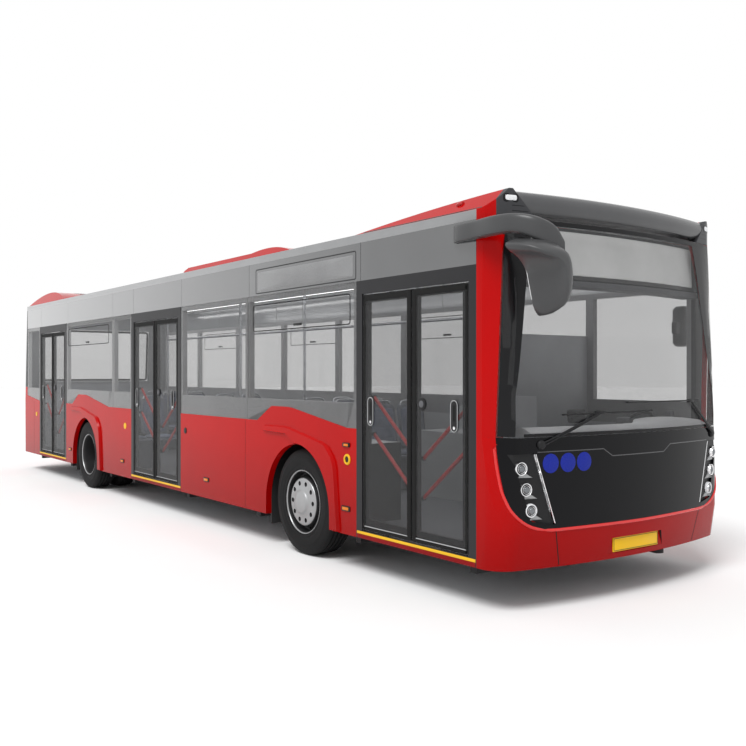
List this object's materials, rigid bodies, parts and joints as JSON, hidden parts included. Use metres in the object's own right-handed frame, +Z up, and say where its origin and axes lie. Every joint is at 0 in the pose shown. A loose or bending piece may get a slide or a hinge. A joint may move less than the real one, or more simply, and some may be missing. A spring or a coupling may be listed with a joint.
{
  "type": "city bus",
  "caption": "Low-floor city bus with inward-gliding double doors on the right side, steered front wheels, twin rear wheels, a seated cabin and a hinged rear engine lid.",
  "frame": {"origin": "on the ground, below the middle of the bounding box", "axes": "+X forward, +Y to the left, +Z up"},
  "size_m": [12.3298, 2.88, 2.9558],
  "materials": {
    "body_red": "gloss",
    "dark_panel": "gloss",
    "black_mask": "gloss",
    "glass": "gloss",
    "roof_paint": "satin",
    "door_frame": "satin",
    "steel": "satin",
    "wheel_silver": "satin",
    "tyre": "matte",
    "chassis": "matte",
    "floor_cover": "matte",
    "inner_plastic": "matte",
    "seat": "satin",
    "black_plastic": "satin",
    "lens": "gloss",
    "engine_iron": "matte"
  },
  "bodies": {
    "coach": {"axles": "chassis", "cab_partition": "inner_plastic", "cove_panels": "dark_panel", "dashboard": "inner_plastic", "door_portals": "door_frame", "driver_seat": "seat", "engine": "engine_iron", "engine_housing": "inner_plastic", "floor": "floor_cover", "front_fascia": "body_red", "front_mask": "black_mask", "grab_poles": "steel", "lamps": "lens", "lower_wall_left": "body_red", "lower_wall_right": "body_red", "mirrors": "black_plastic", "passenger_seats": "seat", "rear_fascia": "body_red", "rear_window": "glass", "roof": "roof_paint", "roof_fairing": "body_red", "roof_pods": "body_red", "roof_visor": "dark_panel", "side_glass": "glass", "underframe": "chassis", "wheel_housings": "chassis", "window_band": "door_frame", "windscreen": "glass", "wipers": "black_plastic"},
    "knuckle_left": {"knuckle_left": "chassis"},
    "knuckle_right": {"knuckle_right": "chassis"},
    "steering_wheel": {"steering_wheel": "black_plastic"},
    "engine_lid": {"engine_lid": "body_red"},
    "wheel_front_left": {"front_left_rim": "wheel_silver", "front_left_tyre": "tyre"},
    "wheel_front_right": {"front_right_rim": "wheel_silver", "front_right_tyre": "tyre"},
    "wheel_rear_left": {"rear_left_rim": "wheel_silver", "rear_left_tyres": "tyre"},
    "wheel_rear_right": {"rear_right_rim": "wheel_silver", "rear_right_tyres": "tyre"},
    "door_front_aft_arm": {"door_front_aft_arm": "steel"},
    "door_front_aft_leaf": {"door_front_aft_leaf": "door_frame", "door_front_aft_glass": "glass"},
    "door_front_fore_arm": {"door_front_fore_arm": "steel"},
    "door_front_fore_leaf": {"door_front_fore_leaf": "door_frame", "door_front_fore_glass": "glass"},
    "door_middle_aft_arm": {"door_middle_aft_arm": "steel"},
    "door_middle_aft_leaf": {"door_middle_aft_leaf": "door_frame", "door_middle_aft_glass": "glass"},
    "door_middle_fore_arm": {"door_middle_fore_arm": "steel"},
    "door_middle_fore_leaf": {"door_middle_fore_leaf": "door_frame", "door_middle_fore_glass": "glass"},
    "door_rear_aft_arm": {"door_rear_aft_arm": "steel"},
    "door_rear_aft_leaf": {"door_rear_aft_leaf": "door_frame", "door_rear_aft_glass": "glass"},
    "door_rear_fore_arm": {"door_rear_fore_arm": "steel"},
    "door_rear_fore_leaf": {"door_rear_fore_leaf": "door_frame", "door_rear_fore_glass": "glass"}
  },
  "joints": [
    {"name": "steer_left", "type": "hinge", "parent": "coach", "child": "knuckle_left", "pos_m": [3.085, 1, 0.48], "axis": [0, 0, 1], "range_deg": [-45, 45]},
    {"name": "steer_right", "type": "hinge", "parent": "coach", "child": "knuckle_right", "pos_m": [3.085, -1, 0.48], "axis": [0, 0, 1], "range_deg": [-45, 45]},
    {"name": "steering_wheel_turn", "type": "hinge", "parent": "coach", "child": "steering_wheel", "pos_m": [5.26509, 0.64, 1.13], "axis": [-0.7071, 0, 0.7071], "range_deg": [-765, 765]},
    {"name": "wheel_front_left_spin", "type": "hinge", "parent": "knuckle_left", "child": "wheel_front_left", "pos_m": [3.085, 1.1, 0.48], "axis": [0, 1, 0], "continuous": true},
    {"name": "wheel_front_right_spin", "type": "hinge", "parent": "knuckle_right", "child": "wheel_front_right", "pos_m": [3.085, -1.1, 0.48], "axis": [0, 1, 0], "continuous": true},
    {"name": "wheel_rear_left_spin", "type": "hinge", "parent": "coach", "child": "wheel_rear_left", "pos_m": [-2.755, 1.1, 0.48], "axis": [0, 1, 0], "continuous": true},
    {"name": "wheel_rear_right_spin", "type": "hinge", "parent": "coach", "child": "wheel_rear_right", "pos_m": [-2.755, -1.1, 0.48], "axis": [0, 1, 0], "continuous": true},
    {"name": "engine_lid_hinge", "type": "hinge", "parent": "coach", "child": "engine_lid", "pos_m": [-6.1458, 0, 1.278], "axis": [0, 1, 0], "range_deg": [0, 60]},
    {"name": "door_front_aft_swing", "type": "hinge", "parent": "coach", "child": "door_front_aft_arm", "pos_m": [4.045, -1.23, 0.34], "axis": [0, 0, 1], "range_deg": [0, 90]},
    {"name": "door_front_aft_leaf_turn", "type": "hinge", "parent": "door_front_aft_arm", "child": "door_front_aft_leaf", "pos_m": [4.39252, -1.23, 0.372], "axis": [0, 0, 1], "range_deg": [-180, 0]},
    {"name": "door_front_fore_swing", "type": "hinge", "parent": "coach", "child": "door_front_fore_arm", "pos_m": [5.37509, -1.23, 0.34], "axis": [0, 0, -1], "range_deg": [0, 90]},
    {"name": "door_front_fore_leaf_turn", "type": "hinge", "parent": "door_front_fore_arm", "child": "door_front_fore_leaf", "pos_m": [5.02757, -1.23, 0.372], "axis": [0, 0, -1], "range_deg": [-180, 0]},
    {"name": "door_middle_aft_swing", "type": "hinge", "parent": "coach", "child": "door_middle_aft_arm", "pos_m": [-0.95, -1.23, 0.34], "axis": [0, 0, 1], "range_deg": [0, 90]},
    {"name": "door_middle_aft_leaf_turn", "type": "hinge", "parent": "door_middle_aft_arm", "child": "door_middle_aft_leaf", "pos_m": [-0.5825, -1.23, 0.372], "axis": [0, 0, 1], "range_deg": [-180, 0]},
    {"name": "door_middle_fore_swing", "type": "hinge", "parent": "coach", "child": "door_middle_fore_arm", "pos_m": [0.46, -1.23, 0.34], "axis": [0, 0, -1], "range_deg": [0, 90]},
    {"name": "door_middle_fore_leaf_turn", "type": "hinge", "parent": "door_middle_fore_arm", "child": "door_middle_fore_leaf", "pos_m": [0.0925, -1.23, 0.372], "axis": [0, 0, -1], "range_deg": [-180, 0]},
    {"name": "door_rear_aft_swing", "type": "hinge", "parent": "coach", "child": "door_rear_aft_arm", "pos_m": [-5.015, -1.23, 0.34], "axis": [0, 0, 1], "range_deg": [0, 90]},
    {"name": "door_rear_aft_leaf_turn", "type": "hinge", "parent": "door_rear_aft_arm", "child": "door_rear_aft_leaf", "pos_m": [-4.6775, -1.23, 0.372], "axis": [0, 0, 1], "range_deg": [-180, 0]},
    {"name": "door_rear_fore_swing", "type": "hinge", "parent": "coach", "child": "door_rear_fore_arm", "pos_m": [-3.725, -1.23, 0.34], "axis": [0, 0, -1], "range_deg": [0, 90]},
    {"name": "door_rear_fore_leaf_turn", "type": "hinge", "parent": "door_rear_fore_arm", "child": "door_rear_fore_leaf", "pos_m": [-4.0625, -1.23, 0.372], "axis": [0, 0, -1], "range_deg": [-180, 0]}
  ],
  "couplings": [
    {"joint": "steer_right", "follows": "steer_left", "ratio": 1},
    {"joint": "steering_wheel_turn", "follows": "steer_left", "ratio": 17},
    {"joint": "door_front_aft_leaf_turn", "follows": "door_front_aft_swing", "ratio": -2},
    {"joint": "door_front_fore_leaf_turn", "follows": "door_front_fore_swing", "ratio": -2},
    {"joint": "door_middle_aft_leaf_turn", "follows": "door_middle_aft_swing", "ratio": -2},
    {"joint": "door_middle_fore_leaf_turn", "follows": "door_middle_fore_swing", "ratio": -2},
    {"joint": "door_rear_aft_leaf_turn", "follows": "door_rear_aft_swing", "ratio": -2},
    {"joint": "door_rear_fore_leaf_turn", "follows": "door_rear_fore_swing", "ratio": -2}
  ]
}
